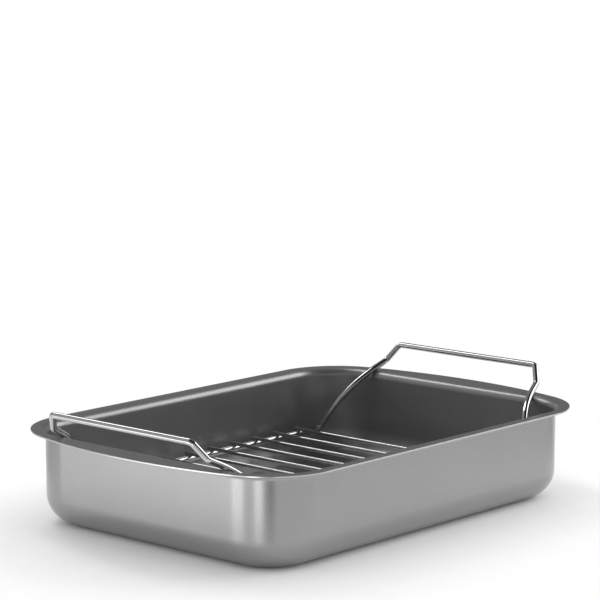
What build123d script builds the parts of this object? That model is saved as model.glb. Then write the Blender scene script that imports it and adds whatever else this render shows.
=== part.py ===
from build123d import *
import math
import os

# A roasting pan drawn from one sheet, and the wire rack that hangs in it by its two handle hoops.
# X runs along the pan, Y across it and Z up. The origin is the middle of the base, where it stands.
# Lengths are in millimetres and angles in degrees.

# Body of the pan, measured outside where the walls meet the flange
body_length = 350.0
body_width = 254.6
pan_height = 72.3
sheet = 1.2
wall_draft = 0.2
corner_radius = 42.7
bottom_radius = 22.2

# Base pressed down out of the bottom, so that the pan stands on a flat face with a crisp edge
base_step = 0.8
base_inset = 18.8
base_corner_radius = 27.0
base_edge_round = 0.35

# Mouth roll and the flat flange, whose two ends bow outwards to give a grip
mouth_radius = 6.0
flange_end_overhang = 23.5
flange_side_overhang = 11.6
flange_end_bow = 10.6
flange_corner_radius = 58.1
flange_edge_round = 0.45

# Wire of the rack
frame_wire = 5.0
cross_wire = 3.0
cross_wire_count = 10
cross_wire_overhang = 4.8
cross_wire_edge_round = 0.4
weld_sink = 0.35

# Places of the frame's corners, from the walls, the rim and the floor of the pan
bar_span = 140.0
bar_overhang = 21.3
bar_above_rim = 20.5
kink_overhang = 13.1
kink_above_rim = 7.9
leg_turn_inset = 28.8
leg_turn_share = 0.632
rail_end_inset = 33.9
rail_side_inset = 16.1
drip_space = 19.9

# Bends of the frame wire, to its axis
bar_bend_radius = 4.5
kink_bend_radius = 6.0
rail_bend_radius = 4.5
leg_bend_share = 0.98
rail_stub = 6.0

# Gap left where the rack hangs on the mouth roll, and the count of points at which it is measured
seat_gap = 0.3
seat_samples = 4000

half_length = body_length / 2
half_width = body_width / 2
inner_floor = base_step + sheet


# Outlines

def bowed_face(length, width, corner, bow):
    """Rectangle with round corners whose two ends bow outwards, all arcs tangent."""
    corner_x = length / 2 - bow - corner
    corner_y = width / 2 - corner
    inner_radius = (corner_y**2 + bow**2) / (2 * bow)
    centre_x = corner_x + bow - inner_radius
    end_angle = math.degrees(math.asin(corner_y / inner_radius))
    end_radius = inner_radius + corner
    turn = 90 - end_angle
    edges = []
    edges.append(CenterArc((centre_x, 0), end_radius, -end_angle, 2 * end_angle))
    edges.append(CenterArc((corner_x, corner_y), corner, end_angle, turn))
    edges.append(Line((corner_x, width / 2), (-corner_x, width / 2)))
    edges.append(CenterArc((-corner_x, corner_y), corner, 90, turn))
    edges.append(CenterArc((-centre_x, 0), end_radius, 180 - end_angle, 2 * end_angle))
    edges.append(CenterArc((-corner_x, -corner_y), corner, 180 + end_angle, turn))
    edges.append(Line((-corner_x, -width / 2), (corner_x, -width / 2)))
    edges.append(CenterArc((corner_x, -corner_y), corner, 270, turn))
    return make_face(edges)


def flat_face_at(solid, height, facing):
    """The largest level face of a solid at a height, facing up at 1 or down at -1."""
    level = solid.faces().filter_by(Axis.Z)
    level = level.filter_by(lambda face: face.normal_at().Z * facing > 0)
    nearest = level.group_by(lambda face: abs(face.center().Z - height))[0]
    return nearest.sort_by(SortBy.AREA)[-1]


# Pan

def drawn_block(inset, floor_height, edge_radius):
    """The pan's body as a full block, its walls moved in by an inset, down to a floor height."""
    outline = RectangleRounded(body_length - 2 * inset, body_width - 2 * inset, corner_radius - inset)
    depth = pan_height - floor_height
    block = extrude(Pos(0, 0, pan_height) * outline, amount=depth, dir=(0, 0, -1), taper=wall_draft)
    return fillet(block.edges().group_by(Axis.Z)[0], edge_radius)


def make_pan_shell():
    outer = drawn_block(0, base_step, bottom_radius)
    flange_length = body_length + 2 * flange_end_overhang
    flange_width = body_width + 2 * flange_side_overhang
    flange_outline = bowed_face(flange_length, flange_width, flange_corner_radius, flange_end_bow)
    flange = extrude(Pos(0, 0, pan_height - sheet) * flange_outline, amount=sheet)
    outer += flange
    under_flange = flat_face_at(outer, pan_height - sheet, -1)
    outer = fillet(under_flange.inner_wires()[0].edges(), mouth_radius - sheet)

    base_length = body_length - 2 * base_inset
    base_width = body_width - 2 * base_inset
    base_outline = RectangleRounded(base_length, base_width, base_corner_radius)
    base = extrude(base_outline, amount=base_step + sheet / 2)
    outer += fillet(base.edges().group_by(Axis.Z)[0], base_edge_round)

    cavity = drawn_block(sheet, inner_floor, bottom_radius - sheet)
    recess_outline = RectangleRounded(base_length - 2 * sheet, base_width - 2 * sheet, base_corner_radius - sheet)
    recess = extrude(Pos(0, 0, sheet) * recess_outline, amount=base_step + sheet)
    shell = outer - cavity - recess

    top_face = flat_face_at(shell, pan_height, 1)
    shell = fillet(top_face.inner_wires()[0].edges(), mouth_radius)
    top_rim = flat_face_at(shell, pan_height, 1).outer_wire().edges()
    bottom_rim = flat_face_at(shell, pan_height - sheet, -1).outer_wire().edges()
    return fillet(top_rim + bottom_rim, flange_edge_round)


# Rack

rail_x = half_length - rail_end_inset
rail_y = half_width - rail_side_inset
rail_z = inner_floor + drip_space + frame_wire / 2
bar_y = bar_span / 2
bar_z = pan_height + bar_above_rim

# Where a hoop and a rail meet face to face, at a butt weld
butt_x = rail_x - rail_bend_radius - rail_stub


def side_point(x, z):
    """A corner of the frame's side, which lies in one plane that leans in from rail to bar."""
    lean = (rail_y - bar_y) / (bar_z - rail_z)
    return Vector(x, rail_y - (z - rail_z) * lean, z)


def turn_tangent(before, corner, after):
    """Tangent of half the angle through which a path turns at a corner."""
    turn = (corner - before).get_angle(after - corner)
    return math.tan(math.radians(turn / 2))


def hoop_path():
    """Axis of one handle hoop: rail stub, leg, kink, bar, and the same on the other side."""
    kink_z = pan_height + kink_above_rim
    turn_z = rail_z + leg_turn_share * (kink_z - rail_z)
    bar = side_point(half_length + bar_overhang, bar_z)
    kink = side_point(half_length + kink_overhang, kink_z)
    turn = side_point(half_length - leg_turn_inset, turn_z)
    corner = side_point(rail_x, rail_z)
    stub = side_point(butt_x, rail_z)
    kink_tangent = kink_bend_radius * turn_tangent(bar, kink, turn)
    rail_tangent = rail_bend_radius * turn_tangent(turn, corner, stub)
    room = min((kink - turn).length - kink_tangent, (turn - corner).length - rail_tangent)
    leg_bend_radius = leg_bend_share * room / turn_tangent(kink, turn, corner)
    back = [bar, kink, turn, corner, stub]
    front = [Vector(point.X, -point.Y, point.Z) for point in back]
    radii = [bar_bend_radius, kink_bend_radius, leg_bend_radius, rail_bend_radius]
    points = front[::-1] + back
    return FilletPolyline(*points, radius=radii[::-1] + radii)


def seat_height(path):
    """How far the rack is raised so that its legs hang on the mouth roll with the seat gap."""
    roll_x = half_length - sheet + mouth_radius
    roll_z = pan_height - mouth_radius
    reach = mouth_radius + frame_wire / 2 + seat_gap
    lifts = []
    for step in range(seat_samples + 1):
        point = path @ (step / seat_samples)
        offset = point.X - roll_x
        if abs(offset) < reach:
            lifts.append(roll_z + math.sqrt(reach**2 - offset**2) - point.Z)
    return max(lifts)


def make_hoop(path):
    start = Plane(origin=path @ 0, z_dir=path % 0)
    return sweep(start * Circle(frame_wire / 2), path=path)


def make_rail(side, length):
    return Pos(0, side * rail_y, rail_z) * Rot(0, 90, 0) * Cylinder(frame_wire / 2, length)


def make_cross_wire(index):
    """One cross wire, welded down into the tops of both rails."""
    pitch = 2 * rail_x / (cross_wire_count + 1)
    x = (index + 1) * pitch - rail_x
    z = rail_z + frame_wire / 2 + cross_wire / 2 - weld_sink
    length = 2 * (rail_y + cross_wire_overhang)
    rod = Rot(90, 0, 0) * Cylinder(cross_wire / 2, length)
    rod = fillet(rod.edges().filter_by(GeomType.CIRCLE), cross_wire_edge_round)
    rod = Pos(x, 0, z) * rod
    for side in (-1, 1):
        rod -= make_rail(side, 2 * rail_x)
    return rod


def make_rack():
    path = hoop_path()
    lift = Pos(0, 0, seat_height(path))
    right_hoop = make_hoop(path)
    pieces = {}
    pieces["rack_hoop_right"] = lift * right_hoop
    pieces["rack_hoop_left"] = lift * mirror(right_hoop, about=Plane.YZ)
    pieces["rack_rail_front"] = lift * make_rail(-1, 2 * butt_x)
    pieces["rack_rail_back"] = lift * make_rail(1, 2 * butt_x)
    for index in range(cross_wire_count):
        pieces[f"cross_wire_{index + 1:02d}"] = lift * make_cross_wire(index)
    return pieces


# Write one file for each piece

parts = {"pan_shell": make_pan_shell()}
parts.update(make_rack())
os.makedirs("parts", exist_ok=True)
for name, solid in parts.items():
    solid.label = name
    export_step(solid, f"parts/{name}.step")
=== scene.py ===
import math

import bpy
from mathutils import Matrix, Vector


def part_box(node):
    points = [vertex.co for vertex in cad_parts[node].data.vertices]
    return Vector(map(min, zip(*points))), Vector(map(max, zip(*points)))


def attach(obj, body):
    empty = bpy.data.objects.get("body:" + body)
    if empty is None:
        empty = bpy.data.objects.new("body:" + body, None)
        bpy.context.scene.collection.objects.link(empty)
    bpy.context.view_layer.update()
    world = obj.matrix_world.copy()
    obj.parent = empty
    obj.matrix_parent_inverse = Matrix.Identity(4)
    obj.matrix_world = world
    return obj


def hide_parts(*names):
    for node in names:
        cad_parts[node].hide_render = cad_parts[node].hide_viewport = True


# A roasting pan drawn from one steel sheet, with a dark non-stick coat inside, and the polished
# wire rack that hangs in it. Lengths are in metres and angles in degrees, in the frame of the
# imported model.

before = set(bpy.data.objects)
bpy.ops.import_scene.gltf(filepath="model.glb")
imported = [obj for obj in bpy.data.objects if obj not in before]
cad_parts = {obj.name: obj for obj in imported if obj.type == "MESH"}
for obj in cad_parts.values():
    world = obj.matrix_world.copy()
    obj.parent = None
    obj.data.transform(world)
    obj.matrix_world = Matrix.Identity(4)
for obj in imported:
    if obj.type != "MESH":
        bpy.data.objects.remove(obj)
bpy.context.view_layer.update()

# Pan. The flange's cut edge is crisper than in the solids, so that it shows as a thin bright line;
# a painted highlight in the edge steel's brighter colour adds to that line.
body_length = 0.350
body_width = 0.2546
sheet = 0.0012
wall_draft = 0.2
corner_radius = 0.0427
bottom_radius = 0.0222
base_step = 0.0008
base_inset = 0.0188
base_corner_radius = 0.027
base_edge_round = 0.00035
recess_round = 0.0003
mouth_radius = 0.006
flange_end_bow = 0.0106
flange_corner_radius = 0.0581
flange_edge_round = 0.0002
coat_depth = 0.0001

# Rack
bar_span = 0.140
bar_overhang = 0.0213
bar_above_rim = 0.0205
kink_overhang = 0.0131
kink_above_rim = 0.0079
leg_turn_inset = 0.0288
leg_turn_share = 0.632
rail_end_inset = 0.0339
bar_bend_radius = 0.0045
kink_bend_radius = 0.006
rail_bend_radius = 0.0045
leg_bend_share = 0.98
cross_wire_count = 10
cross_wire_end_round = 0.0004

# Welds: how deep the cross wires are let in, the beads' half sizes, and their lobes and swell
weld_sink = 0.00035
weld_size = Vector((0.0021, 0.0019, 0.0009))
weld_lobes = 3
weld_wobble = 0.08

# Mesh steps of a quarter of the pan's outline, crowded towards its corner
end_steps = 16
corner_steps = 30
side_steps = 20
crowding = 1.7

# Mesh steps of the pan's rounds, the place of the flange's rings from its edge to the mouth, and
# the distance from a round to the ring that holds the flat beside it
round_steps = 14
small_round_steps = 5
flange_shares = (0, 0.03, 0.35, 0.7, 0.96)
hold = 0.0007

# Mesh steps of the wires and weld beads, and the angle from which an edge stays crisp
wire_sides = 40
wire_arc_step = 3.0
fewest_arc_steps = 4
weld_sides = 20
weld_rows = 8
sharp_angle = 40

# Sizes that follow from the frame
pan_low, pan_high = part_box("pan_shell")
pan_height = pan_high.z
flange_length = pan_high.x - pan_low.x
flange_width = pan_high.y - pan_low.y
rail_low, rail_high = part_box("rack_rail_back")
frame_wire = rail_high.z - rail_low.z
rail_y = (rail_low.y + rail_high.y) / 2
rail_z = (rail_low.z + rail_high.z) / 2
hoop_low, hoop_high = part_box("rack_hoop_right")
bar_z = hoop_high.z - frame_wire / 2
half_length = body_length / 2
half_width = body_width / 2
draft_slope = math.tan(math.radians(wall_draft))


# Meshes

def new_piece(name, points, faces):
    """A smooth mesh object whose sharp edges stay crisp."""
    mesh = bpy.data.meshes.new(name)
    mesh.from_pydata(points, [], faces)
    mesh.polygons.foreach_set("use_smooth", [True] * len(mesh.polygons))
    mesh.set_sharp_from_angle(angle=math.radians(sharp_angle))
    piece = bpy.data.objects.new(name, mesh)
    bpy.context.scene.collection.objects.link(piece)
    return piece


def grid_faces(ring_count, ring_size):
    """Quads between rings of points that follow each other."""
    faces = []
    for ring_index in range(ring_count - 1):
        low = ring_index * ring_size
        high = low + ring_size
        for step in range(ring_size):
            following = (step + 1) % ring_size
            faces.append((low + step, low + following, high + following, high + step))
    return faces


def closed_faces(ring_count, ring_size):
    """Quads between rings, and one face across each end."""
    last = (ring_count - 1) * ring_size
    ends = [tuple(reversed(range(ring_size))), tuple(range(last, last + ring_size))]
    return grid_faces(ring_count, ring_size) + ends


def quarter_turn(steps, first=0):
    """Sines and cosines of the steps of a quarter turn."""
    angles = [math.pi / 2 * step / steps for step in range(first, steps + 1)]
    return [(math.sin(angle), math.cos(angle)) for angle in angles]


# Pan outlines, as quarters that run from the middle of an end to the middle of a side

end_shares = [1 - (1 - step / end_steps) ** crowding for step in range(end_steps + 1)]
side_shares = [1 - (step / side_steps) ** crowding for step in range(1, side_steps + 1)]


def rounded_quarter(inset, length, width, radius):
    """A rectangle with round corners, moved in by an inset."""
    length = length / 2 - inset
    width = width / 2 - inset
    radius -= inset
    corner_x = length - radius
    corner_y = width - radius
    points = [(length, corner_y * share) for share in end_shares]
    for step in range(1, corner_steps + 1):
        angle = math.radians(90 * step / corner_steps)
        points.append((corner_x + radius * math.cos(angle), corner_y + radius * math.sin(angle)))
    return points + [(corner_x * share, width) for share in side_shares]


def body_quarter(inset):
    """The outline of the pan's body."""
    return rounded_quarter(inset, body_length, body_width, corner_radius)


def base_quarter(inset):
    """The outline of the pressed base."""
    base_length = body_length - 2 * base_inset
    base_width = body_width - 2 * base_inset
    return rounded_quarter(inset, base_length, base_width, base_corner_radius)


def flange_quarter(inset):
    """The flange's outline, whose end bows outwards on an arc tangent to the corner's."""
    corner_x = flange_length / 2 - flange_end_bow - flange_corner_radius
    corner_y = flange_width / 2 - flange_corner_radius
    inner_radius = (corner_y**2 + flange_end_bow**2) / (2 * flange_end_bow)
    centre_x = corner_x + flange_end_bow - inner_radius
    end_angle = math.asin(corner_y / inner_radius)
    end_radius = inner_radius + flange_corner_radius - inset
    radius = flange_corner_radius - inset
    points = []
    for share in end_shares:
        angle = end_angle * share
        points.append((centre_x + end_radius * math.cos(angle), end_radius * math.sin(angle)))
    for step in range(1, corner_steps + 1):
        angle = end_angle + (math.pi / 2 - end_angle) * step / corner_steps
        points.append((corner_x + radius * math.cos(angle), corner_y + radius * math.sin(angle)))
    return points + [(corner_x * share, corner_y + radius) for share in side_shares]


def between(quarter, other, share):
    """The outline at a share of the way from one quarter to another."""
    pairs = zip(quarter, other)
    return [(a[0] + (b[0] - a[0]) * share, a[1] + (b[1] - a[1]) * share) for a, b in pairs]


def ring(quarter, height):
    """The whole outline at a height, which is a number or a function of the place."""
    mirrored = [(-x, y) for x, y in quarter[-2::-1]]
    half = quarter + mirrored
    outline = half + [(x, -y) for x, y in half[-2:0:-1]]
    if callable(height):
        return [Vector((x, y, height(x, y))) for x, y in outline]
    return [Vector((x, y, height)) for x, y in outline]


def rings_mesh(name, rings):
    """A closed mesh from rings, its two flat ends closed by one face each."""
    points = [point for outline in rings for point in outline]
    return new_piece(name, points, closed_faces(len(rings), len(rings[0])))


# Pan profile, in insets from the body's outline and heights

foot_z = base_step + bottom_radius
foot_inset = bottom_radius + (pan_height - foot_z) * draft_slope
roll_z = pan_height - mouth_radius
roll_inset = sheet - mouth_radius
underside_z = pan_height - sheet


def body_inset(x, y):
    """How far a place lies inside the body's outline."""
    across_x = abs(x) - (half_length - corner_radius)
    across_y = abs(y) - (half_width - corner_radius)
    outside = math.hypot(max(across_x, 0), max(across_y, 0))
    return corner_radius - outside - min(max(across_x, across_y), 0)


def foot_height(radius):
    """Height of the wall's rounded foot, as a function of the place."""
    def height(x, y):
        across = min(max(foot_inset - body_inset(x, y), 0), radius)
        return foot_z - math.sqrt(radius**2 - across**2)
    return height


def foot_rings(radius, lowest_inset):
    """Rings of the rounded foot, from the wall down to where its flat or step begins."""
    last = math.acos((foot_inset - lowest_inset) / radius)
    rings = []
    for step in range(round_steps + 1):
        angle = last * step / round_steps
        inset = foot_inset - radius * math.cos(angle)
        rings.append(ring(body_quarter(inset), foot_z - radius * math.sin(angle)))
    return rings


def wall_rings(face_inset):
    """Rings of the flat wall, from the mouth down to the foot."""
    heights = [roll_z - hold, (roll_z + foot_z) / 2, foot_z + hold]
    return [ring(body_quarter(face_inset + (pan_height - z) * draft_slope), z) for z in heights]


def roll_rings(radius):
    """Rings round the mouth, from the flange to the wall."""
    rings = []
    for sine, cosine in reversed(quarter_turn(round_steps)):
        rings.append(ring(body_quarter(roll_inset + radius * cosine), roll_z + radius * sine))
    return rings


def flange_rings(height):
    """Rings of the flat flange, from its edge to the mouth."""
    edge = flange_quarter(flange_edge_round)
    mouth = body_quarter(roll_inset)
    return [ring(between(edge, mouth, share), height) for share in flange_shares]


def edge_rings(radius):
    """Rings round the flange's cut edge, from just off its underside to its top."""
    rings = []
    for sine, cosine in quarter_turn(small_round_steps, first=1):
        quarter = flange_quarter(radius - radius * sine)
        rings.append(ring(quarter, underside_z + radius - radius * cosine))
    for sine, cosine in quarter_turn(small_round_steps):
        quarter = flange_quarter(radius - radius * cosine)
        rings.append(ring(quarter, pan_height - radius + radius * sine))
    return rings


def inner_rings(depth):
    """The inside, or a face at a depth behind it, from the flange's edge down to the recess."""
    foot_radius = bottom_radius - sheet + depth
    recess_z = sheet - depth
    rings = flange_rings(pan_height - depth)
    rings += roll_rings(mouth_radius - depth)
    rings += wall_rings(sheet - depth)
    rings += foot_rings(foot_radius, base_inset + sheet - 2 * recess_round - depth)
    shoulder = foot_height(foot_radius)
    for sine, cosine in quarter_turn(small_round_steps):
        quarter = base_quarter(sheet - recess_round * (1 - sine) - depth)
        drop = recess_round * (1 - cosine)
        rings.append(ring(quarter, lambda x, y, drop=drop: shoulder(x, y) - drop))
    for sine, cosine in quarter_turn(small_round_steps):
        quarter = base_quarter(sheet + recess_round * (1 - cosine) - depth)
        rings.append(ring(quarter, recess_z + recess_round * (1 - sine)))
    rings.append(ring(base_quarter(sheet + recess_round + 2 * hold), recess_z))
    return rings


def outer_rings():
    """The outside, from the base that the pan stands on to the flange's underside."""
    rings = [ring(base_quarter(base_edge_round + 2 * hold), 0)]
    for sine, cosine in quarter_turn(small_round_steps):
        quarter = base_quarter(base_edge_round * (1 - sine))
        rings.append(ring(quarter, base_edge_round * (1 - cosine)))
    rings.append(ring(base_quarter(0), foot_height(bottom_radius)))
    rings += foot_rings(bottom_radius, base_inset - hold)[::-1]
    rings += wall_rings(0)[::-1]
    rings += roll_rings(mouth_radius - sheet)[::-1]
    rings += flange_rings(underside_z)[::-1]
    return rings


# Wires

def bent_path(corners, radii):
    """Points along straight runs joined by tangent arcs, one radius for each inner corner."""
    path = [corners[0]]
    for before, corner, after, radius in zip(corners, corners[1:], corners[2:], radii):
        back = (before - corner).normalized()
        ahead = (after - corner).normalized()
        turn = math.pi - back.angle(ahead)
        reach = radius * math.tan(turn / 2)
        start = corner + back * reach
        axis = (-back).cross(ahead).normalized()
        inward = axis.cross(-back)
        centre = start + inward * radius
        steps = max(fewest_arc_steps, math.ceil(math.degrees(turn) / wire_arc_step))
        for step in range(steps + 1):
            angle = turn * step / steps
            path.append(centre + radius * (-inward * math.cos(angle) - back * math.sin(angle)))
    path.append(corners[-1])
    return path


def rounded_end(tip, inward, radius):
    """Sections of a wire's end from its flat face inwards, its edge rounded."""
    sections = []
    for sine, cosine in quarter_turn(small_round_steps):
        depth = cross_wire_end_round * (1 - cosine)
        sections.append((tip + inward * depth, radius - cross_wire_end_round * (1 - sine)))
    return sections


def wire_mesh(name, sections):
    """A round wire through sections, each a middle and a radius, with flat ends."""
    middles = [middle for middle, radius in sections]
    first = (middles[1] - middles[0]).normalized()
    side = first.orthogonal().normalized()
    points = []
    for index, (middle, radius) in enumerate(sections):
        ahead = middles[min(index + 1, len(middles) - 1)]
        back = middles[max(index - 1, 0)]
        tangent = (ahead - back).normalized()
        side = (side - tangent * side.dot(tangent)).normalized()
        up = tangent.cross(side)
        for step in range(wire_sides):
            angle = 2 * math.pi * step / wire_sides
            points.append(middle + radius * (side * math.cos(angle) + up * math.sin(angle)))
    return new_piece(name, points, closed_faces(len(sections), wire_sides))


def weld_bead(number, middle):
    """Points and faces of a small flattened bead of weld metal, a little out of round."""
    points = [middle - Vector((0, 0, weld_size.z))]
    for row in range(1, weld_rows):
        tilt = math.pi * (row / weld_rows - 0.5)
        for step in range(weld_sides):
            turn = 2 * math.pi * step / weld_sides
            swell = 1 + weld_wobble * math.sin(weld_lobes * turn + number)
            across = math.cos(tilt) * swell
            offset = Vector((across * math.cos(turn), across * math.sin(turn), math.sin(tilt)))
            points.append(middle + offset * weld_size)
    points.append(middle + Vector((0, 0, weld_size.z)))
    rows = grid_faces(weld_rows - 1, weld_sides)
    faces = [tuple(1 + corner for corner in face) for face in rows]
    top = len(points) - 1
    last_row = top - weld_sides
    for step in range(weld_sides):
        following = (step + 1) % weld_sides
        faces.append((0, 1 + following, 1 + step))
        faces.append((top, last_row + step, last_row + following))
    return points, faces


def weld_spots(name, middles):
    """One mesh of weld beads."""
    points = []
    faces = []
    for number, middle in enumerate(middles):
        base = len(points)
        bead_points, bead_faces = weld_bead(number, middle)
        points += bead_points
        faces += [tuple(base + corner for corner in face) for face in bead_faces]
    return new_piece(name, points, faces)


def side_point(x, z):
    """A corner of the rack's side, which lies in one plane that leans in from rail to bar."""
    lean = (rail_y - bar_span / 2) / (bar_z - rail_z)
    return Vector((x, rail_y - (z - rail_z) * lean, z))


def turn_tangent(before, corner, after):
    """Tangent of half the angle through which a path turns at a corner."""
    return math.tan((corner - before).angle(after - corner) / 2)


def hoop_path():
    """Axis of the handle hoop at +X: rail stub, leg, kink, bar, and the same on the other side."""
    kink_z = bar_z - bar_above_rim + kink_above_rim
    turn_z = rail_z + leg_turn_share * (kink_z - rail_z)
    bar = side_point(half_length + bar_overhang, bar_z)
    kink = side_point(half_length + kink_overhang, kink_z)
    turn = side_point(half_length - leg_turn_inset, turn_z)
    corner = side_point(half_length - rail_end_inset, rail_z)
    stub = side_point(hoop_low.x, rail_z)
    room = min(
        (kink - turn).length - kink_bend_radius * turn_tangent(bar, kink, turn),
        (turn - corner).length - rail_bend_radius * turn_tangent(turn, corner, stub),
    )
    leg_bend_radius = leg_bend_share * room / turn_tangent(kink, turn, corner)
    back = [bar, kink, turn, corner, stub]
    front = [Vector((point.x, -point.y, point.z)) for point in back]
    radii = [bar_bend_radius, kink_bend_radius, leg_bend_radius, rail_bend_radius]
    return bent_path(front[::-1] + back, radii[::-1] + radii)


# Finishes

micrometre = 0.000001

# Noise detail of broad patches and of fine texture, and the middle range that most noise lies in
broad = 3.0
fine = 2.0
noise_low = 0.3
noise_high = 0.7

# Shares of the coat's texture that come from its orange peel and from its fine grain
peel_share = 0.7
speck_share = 0.3


def new_finish(name, **sockets):
    """A material with a Principled shader, the values given set on its own sockets."""
    material = bpy.data.materials.new(name)
    material.use_nodes = True
    shader = material.node_tree.nodes["Principled BSDF"]
    for socket, value in sockets.items():
        shader.inputs[socket.replace("_", " ")].default_value = value
    return material.node_tree, shader, material


def add_noise(tree, size, detail=broad, stretch=(1, 1, 1)):
    """Noise with features of about a size, drawn out along the axes by a stretch."""
    coordinates = tree.nodes.new("ShaderNodeTexCoord")
    scale = tree.nodes.new("ShaderNodeMapping")
    scale.inputs["Scale"].default_value = [1 / (size * share) for share in stretch]
    noise = tree.nodes.new("ShaderNodeTexNoise")
    noise.inputs["Scale"].default_value = 1
    noise.inputs["Detail"].default_value = detail
    tree.links.new(coordinates.outputs["Object"], scale.inputs["Vector"])
    tree.links.new(scale.outputs["Vector"], noise.inputs["Vector"])
    return noise.outputs["Fac"]


def spread(tree, value, low, high, from_low=noise_low, from_high=noise_high):
    """A value's range, by default that of noise, spread between two others and held to them."""
    node = tree.nodes.new("ShaderNodeMapRange")
    node.inputs["From Min"].default_value = from_low
    node.inputs["From Max"].default_value = from_high
    node.inputs["To Min"].default_value = low
    node.inputs["To Max"].default_value = high
    tree.links.new(value, node.inputs["Value"])
    return node.outputs["Result"]


def combine(tree, operation, first, second):
    """A sum, product or the like of two values, each a socket or a number."""
    node = tree.nodes.new("ShaderNodeMath")
    node.operation = operation
    for socket, value in zip(node.inputs, (first, second)):
        if isinstance(value, (int, float)):
            socket.default_value = value
        else:
            tree.links.new(value, socket)
    return node.outputs["Value"]


def grey(tree, value, tint=(1.0, 1.0, 1.0)):
    """A colour from a level of grey and a tint."""
    node = tree.nodes.new("ShaderNodeCombineColor")
    for socket, share in zip(node.inputs, tint):
        tree.links.new(combine(tree, "MULTIPLY", value, share), socket)
    return node.outputs["Color"]


def layered(tree, broader, finer):
    """The sum of two noises, each given with the lowest and highest value it adds."""
    return combine(tree, "ADD", spread(tree, *broader), spread(tree, *finer))


def add_bump(tree, shader, height, depth):
    """Bump from a height of 0 to 1, as deep as a depth."""
    bump = tree.nodes.new("ShaderNodeBump")
    bump.inputs["Strength"].default_value = 1
    bump.inputs["Distance"].default_value = depth
    tree.links.new(height, bump.inputs["Height"])
    tree.links.new(bump.outputs["Normal"], shader.inputs["Normal"])


def satin_steel():
    """Steel brushed along the walls, so that it spreads light up and down."""
    brushing = {"Metallic": 1.0, "Anisotropic": 0.4, "Anisotropic_Rotation": 0.25}
    tree, shader, material = new_finish("satin_steel", **brushing)
    tangent = tree.nodes.new("ShaderNodeTangent")
    tangent.direction_type = "RADIAL"
    tangent.axis = "Z"
    tree.links.new(tangent.outputs["Tangent"], shader.inputs["Tangent"])
    grain = add_noise(tree, size=0.00012, detail=fine, stretch=(60, 60, 1))
    cloud = add_noise(tree, size=0.05)
    fleck = add_noise(tree, size=0.0004, detail=fine)
    level = layered(tree, (cloud, 0.350, 0.364), (grain, -0.004, 0.004))
    roughness = layered(tree, (grain, 0.25, 0.27), (fleck, -0.01, 0.01))
    tree.links.new(grey(tree, level, tint=(1.0, 1.0, 1.012)), shader.inputs["Base Color"])
    tree.links.new(roughness, shader.inputs["Roughness"])
    add_bump(tree, shader, grain, 1 * micrometre)
    return material


def cut_edge_steel_and_highlight():
    """The sheet's cut edge, a brighter steel than the drawn walls, partly bare metal and partly a
    painted highlight for the bright line along the edge.
    """
    tree, shader, material = new_finish("cut_edge_steel_and_highlight", Metallic=1.0)
    grain = add_noise(tree, size=0.0003, detail=fine)
    tree.links.new(grey(tree, spread(tree, grain, 0.52, 0.58)), shader.inputs["Base Color"])
    tree.links.new(spread(tree, grain, 0.16, 0.22), shader.inputs["Roughness"])
    add_bump(tree, shader, grain, 1 * micrometre)
    return material


def nonstick_coat():
    """The dark grey coat, with a faint orange peel and fine specks in it."""
    tree, shader, material = new_finish("nonstick_coat", Metallic=0.83)
    peel = add_noise(tree, size=0.0009, detail=fine)
    specks = add_noise(tree, size=0.00018, detail=fine)
    cloud = add_noise(tree, size=0.04, detail=fine)
    level = layered(tree, (cloud, 0.295, 0.315), (specks, -0.035, 0.04))
    roughness = layered(tree, (peel, 0.31, 0.355), (specks, -0.02, 0.02))
    tree.links.new(grey(tree, level, tint=(1.0, 1.0, 1.02)), shader.inputs["Base Color"])
    tree.links.new(roughness, shader.inputs["Roughness"])
    peel_height = combine(tree, "MULTIPLY", peel, peel_share)
    speck_height = combine(tree, "MULTIPLY", specks, speck_share)
    add_bump(tree, shader, combine(tree, "ADD", peel_height, speck_height), 10 * micrometre)
    return material


def polished_wire():
    """The rack's bright wire, with a slight haze."""
    tree, shader, material = new_finish("polished_wire", Metallic=1.0)
    haze = add_noise(tree, size=0.006)
    specks = add_noise(tree, size=0.0002, detail=fine)
    level = layered(tree, (haze, 0.59, 0.63), (specks, -0.01, 0.01))
    roughness = layered(tree, (haze, 0.075, 0.105), (specks, -0.01, 0.01))
    tree.links.new(grey(tree, level), shader.inputs["Base Color"])
    tree.links.new(roughness, shader.inputs["Roughness"])
    add_bump(tree, shader, specks, 1 * micrometre)
    return material


def weld_metal():
    """Weld beads, duller and a little warmer than the wire."""
    tree, shader, material = new_finish("weld_metal", Metallic=1.0)
    haze = add_noise(tree, size=0.0012)
    level = spread(tree, haze, 0.38, 0.55)
    tree.links.new(grey(tree, level, tint=(1.0, 0.95, 0.88)), shader.inputs["Base Color"])
    tree.links.new(spread(tree, haze, 0.22, 0.34), shader.inputs["Roughness"])
    add_bump(tree, shader, haze, 50 * micrometre)
    return material


# Pieces

def dress(piece, body, slot, material, *nodes):
    """Gives a piece its finish and its body, and hides the nodes it stands for; the slot is not
    used.
    """
    piece.data.materials.append(material)
    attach(piece, body)
    if nodes:
        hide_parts(*nodes)


steel = satin_steel()
coat = nonstick_coat()
wire = polished_wire()
weld = weld_metal()

outside = outer_rings()
cut_edge = edge_rings(flange_edge_round)
pan = rings_mesh("pan_sheet", outside + cut_edge + inner_rings(coat_depth))
dress(pan, "pan", "pan_steel", steel, "pan_shell")
# The cut edge's faces take the brighter steel, which is partly a painted highlight along the edge.
pan.data.materials.append(cut_edge_steel_and_highlight())
ring_size = len(cut_edge[0])
first_edge_face = (len(outside) - 1) * ring_size
end_of_edge = first_edge_face + (len(cut_edge) + 1) * ring_size
for edge_face in pan.data.polygons[first_edge_face:end_of_edge]:
    edge_face.material_index = 1

lining = rings_mesh("pan_lining", inner_rings(coat_depth)[::-1] + inner_rings(0))
dress(lining, "pan", "nonstick_coat", coat, "pan_shell")

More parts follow.
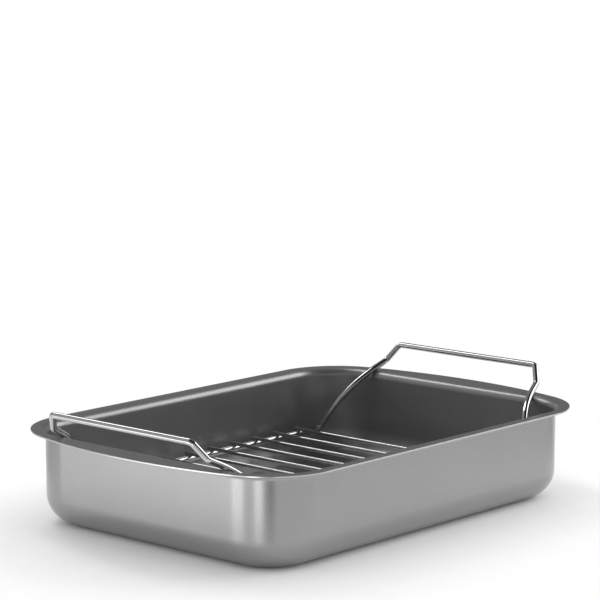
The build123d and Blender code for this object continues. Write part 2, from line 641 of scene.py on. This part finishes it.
right_path = hoop_path()
left_path = [Vector((-point.x, point.y, point.z)) for point in right_path]
for side, path in (("left", left_path), ("right", right_path)):
    hoop = wire_mesh(f"hoop_wire_{side}", [(point, frame_wire / 2) for point in path])
    dress(hoop, "rack", "rack_wire", wire, f"rack_hoop_{side}")

for side in ("front", "back"):
    node = f"rack_rail_{side}"
    low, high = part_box(node)
    middle = (low + high) / 2
    ends = [Vector((x, middle.y, middle.z)) for x in (low.x, high.x)]
    rail = wire_mesh(f"rail_wire_{side}", [(end, frame_wire / 2) for end in ends])
    dress(rail, "rack", "rack_wire", wire, node)

back_spots = []
for index in range(1, cross_wire_count + 1):
    node = f"cross_wire_{index:02d}"
    low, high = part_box(node)
    radius = (high.x - low.x) / 2
    x = low.x + radius
    z = high.z - radius
    front = rounded_end(Vector((x, low.y, z)), Vector((0, 1, 0)), radius)
    back = rounded_end(Vector((x, high.y, z)), Vector((0, -1, 0)), radius)
    grid_wire = wire_mesh(f"grid_wire_{index:02d}", front + back[::-1])
    dress(grid_wire, "rack", "rack_wire", wire, node)
    back_spots.append(Vector((x, rail_y, z - radius + weld_sink / 2)))

front_spots = [Vector((spot.x, -spot.y, spot.z)) for spot in back_spots]
for side, spots in (("front", front_spots), ("back", back_spots)):
    dress(weld_spots(f"weld_spots_{side}", spots), "rack", "rack_wire", weld)


# Studio

# Soft boxes: name, azimuth from +X, elevation, distance, width, height and glow as a share of white
soft_boxes = (
    ("right_box", 331, 28.5, 2.0, 1.45, 1.2, 2.3),
    ("back_box", 82.7, 53.9, 1.257, 0.235, 0.857, 4.4),
    ("wide_panel", 169, -10, 2.1, 3.1, 0.8, 0.3),
    ("left_panel", 145.2, -10, 2.0, 0.68, 0.8, 0.64),
    ("left_strip", 163, -10, 1.9, 0.72, 0.8, 1.2),
    ("front_strip", 202, -10, 1.9, 0.46, 0.8, 1.25),
)

# Floor: half its side, and its grey. Close to the pan it is nearly solid, and further off it turns
# into the backdrop. Each fade has the share seen through at its start and end, and the distances
# from the pan's body at which it starts and ends.
floor_reach = 1.0
floor_grey = (0.93, 0.95)
near_fade = (0.03, 0.18, 0.0, 0.035)
far_fade = (0.0, 0.82, 0.07, 0.21)

# Dark card: azimuth, distance, half its width and height, and its grey
card_azimuth = 222
card_distance = 1.6
card_half_width = 0.185
card_half_height = 0.75
card_grey = (0.32, 0.34)

# What shiny surfaces see of the studio. A fade has the levels below and above, and the sines of
# the elevations between which it changes. A patch has an azimuth, an elevation, the levels around
# it and in it, and the cosines of the angles at which it begins and is full.
backdrop_fade = (1, 0, -0.1, 0.0)
backdrop_patch = (36, -10, 0, 1, 0.84, 0.9)
studio_fade = (0.87, 0.25, -0.06, 0.14)
dim_patches = (
    (260, 62, 1, 0.1, 0.67, 0.8),
    (44, 16, 1, 0.57, 0.8, 0.95),
    (88, -12, 1, 0.84, 0.927, 0.985),
    (352, -12, 1, 0.8, 0.962, 0.992),
)
bright_patch = (128, 33, 0, 0.2, 0.9, 0.97)

# Level of the even light that the world gives to surfaces that aren't shiny
lighting_level = 0.94

# Camera, fitted to the photograph's outlines: angles in radians
image_size = 600
sensor_width = 36
focal_pixels = 2540.2346
camera_place = (-1.4144204, -1.2629479, 0.4588693)
camera_heading = 0.731277
camera_pitch = -0.155778


def point_at(azimuth, elevation, distance):
    """A place seen from the pan at an azimuth from +X and an elevation."""
    turn = math.radians(azimuth)
    rise = math.radians(elevation)
    flat = distance * math.cos(rise)
    return Vector((flat * math.cos(turn), flat * math.sin(turn), distance * math.sin(rise)))


def make_soft_box(name, azimuth, elevation, distance, width, height, glow):
    """A soft box that faces the pan."""
    light = bpy.data.lights.new(name, "AREA")
    light.shape = "RECTANGLE"
    light.size = width
    light.size_y = height
    light.energy = glow * math.pi * width * height
    box = bpy.data.objects.new(name, light)
    box.location = point_at(azimuth, elevation, distance)
    box.rotation_euler = (-box.location).to_track_quat("-Z", "Y").to_euler()
    box.visible_camera = False
    bpy.context.scene.collection.objects.link(box)


def seen_directly(tree):
    """1 on rays by which the camera, metal or glass shows a thing, and 0 on those that light it."""
    rays = tree.nodes.new("ShaderNodeLightPath")
    seen = combine(tree, "MAXIMUM", rays.outputs["Is Camera Ray"], rays.outputs["Is Glossy Ray"])
    return combine(tree, "MAXIMUM", seen, rays.outputs["Is Transmission Ray"])


def distance_from_pan(tree):
    """How far a place on the floor lies outside the pan's body."""
    value = tree.nodes.new("ShaderNodeTexCoord").outputs["Object"]
    steps = (
        ("ABSOLUTE", None),
        ("SUBTRACT", (half_length, half_width, 0)),
        ("MAXIMUM", (0, 0, 0)),
        ("LENGTH", None),
    )
    for operation, other in steps:
        node = tree.nodes.new("ShaderNodeVectorMath")
        node.operation = operation
        tree.links.new(value, node.inputs[0])
        if other:
            node.inputs[1].default_value = other
        value = node.outputs["Value" if operation == "LENGTH" else "Vector"]
    return value


def make_floor():
    """A pale floor that turns into the white backdrop with the distance from the pan."""
    reach = floor_reach
    corners = [(-reach, -reach, 0), (reach, -reach, 0), (reach, reach, 0), (-reach, reach, 0)]
    floor = new_piece("floor", corners, [(0, 1, 2, 3)])
    tree, shader, material = new_finish("pale_floor", Roughness=0.8)
    shade = spread(tree, add_noise(tree, size=0.02), *floor_grey)
    tree.links.new(grey(tree, shade), shader.inputs["Base Color"])
    clear = tree.nodes.new("ShaderNodeBsdfTransparent")
    faded = tree.nodes.new("ShaderNodeMixShader")
    distance = distance_from_pan(tree)
    near = spread(tree, distance, *near_fade)
    far = spread(tree, distance, *far_fade)
    far.node.interpolation_type = "SMOOTHSTEP"
    tree.links.new(combine(tree, "ADD", near, far), faded.inputs["Fac"])
    tree.links.new(shader.outputs["BSDF"], faded.inputs[1])
    tree.links.new(clear.outputs["BSDF"], faded.inputs[2])
    tree.links.new(faded.outputs["Shader"], tree.nodes["Material Output"].inputs["Surface"])
    floor.data.materials.append(material)


def make_card():
    """A dark card on the camera's side, which the polished wires and the corners reflect."""
    middle = point_at(card_azimuth, 0, card_distance)
    across = Vector((-middle.y, middle.x, 0)).normalized() * card_half_width
    up = Vector((0, 0, card_half_height))
    low_corners = [middle - across - up, middle + across - up]
    high_corners = [middle + across + up, middle - across + up]
    card = new_piece("dark_card", low_corners + high_corners, [(0, 1, 2, 3)])
    tree, shader, material = new_finish("card_black", Roughness=0.9)
    shade = spread(tree, add_noise(tree, size=0.01), *card_grey)
    tree.links.new(grey(tree, shade), shader.inputs["Base Color"])
    card.data.materials.append(material)
    card.visible_camera = False
    card.visible_diffuse = False
    card.visible_shadow = False


def make_world():
    """A white backdrop, a studio that shiny surfaces see, and an even level where it lights."""
    world = bpy.data.worlds.new("studio")
    bpy.context.scene.world = world
    world.use_nodes = True
    tree = world.node_tree
    background = tree.nodes["Background"]
    background.inputs["Color"].default_value = (1, 1, 1, 1)
    coordinates = tree.nodes.new("ShaderNodeTexCoord")

    def towards(azimuth, elevation):
        """Cosine of the angle between a ray and a direction."""
        node = tree.nodes.new("ShaderNodeVectorMath")
        node.operation = "DOT_PRODUCT"
        tree.links.new(coordinates.outputs["Generated"], node.inputs[0])
        node.inputs[1].default_value = point_at(azimuth, elevation, 1)
        return node.outputs["Value"]

    def patch(azimuth, elevation, around, level, edge, core):
        """A level in one direction that goes over into the level around it."""
        return spread(tree, towards(azimuth, elevation), around, level, edge, core)

    height = towards(0, 90)
    below_horizon = spread(tree, height, *backdrop_fade)
    backdrop = combine(tree, "MULTIPLY", patch(*backdrop_patch), below_horizon)
    studio = spread(tree, height, *studio_fade)
    for dim_patch in dim_patches:
        studio = combine(tree, "MULTIPLY", studio, patch(*dim_patch))
    studio = combine(tree, "ADD", studio, patch(*bright_patch))
    shown = combine(tree, "MAXIMUM", studio, backdrop)
    rays = tree.nodes.new("ShaderNodeLightPath")
    shown = combine(tree, "MAXIMUM", shown, rays.outputs["Is Camera Ray"])
    lighting = spread(tree, seen_directly(tree), lighting_level, 0.0, 0, 1)
    seen = combine(tree, "MULTIPLY", seen_directly(tree), shown)
    tree.links.new(combine(tree, "ADD", lighting, seen), background.inputs["Strength"])


def make_camera():
    """The photograph's view, a long lens a little above the rim."""
    camera = bpy.data.objects.new("camera", bpy.data.cameras.new("camera"))
    camera.data.sensor_width = sensor_width
    camera.data.lens = focal_pixels / image_size * sensor_width
    camera.location = camera_place
    camera.rotation_euler = (math.pi / 2 + camera_pitch, 0, camera_heading - math.pi / 2)
    bpy.context.scene.collection.objects.link(camera)
    bpy.context.scene.camera = camera


for soft_box in soft_boxes:
    make_soft_box(*soft_box)
make_floor()
make_card()
make_world()
make_camera()

bpy.context.scene.view_settings.view_transform = "Standard"
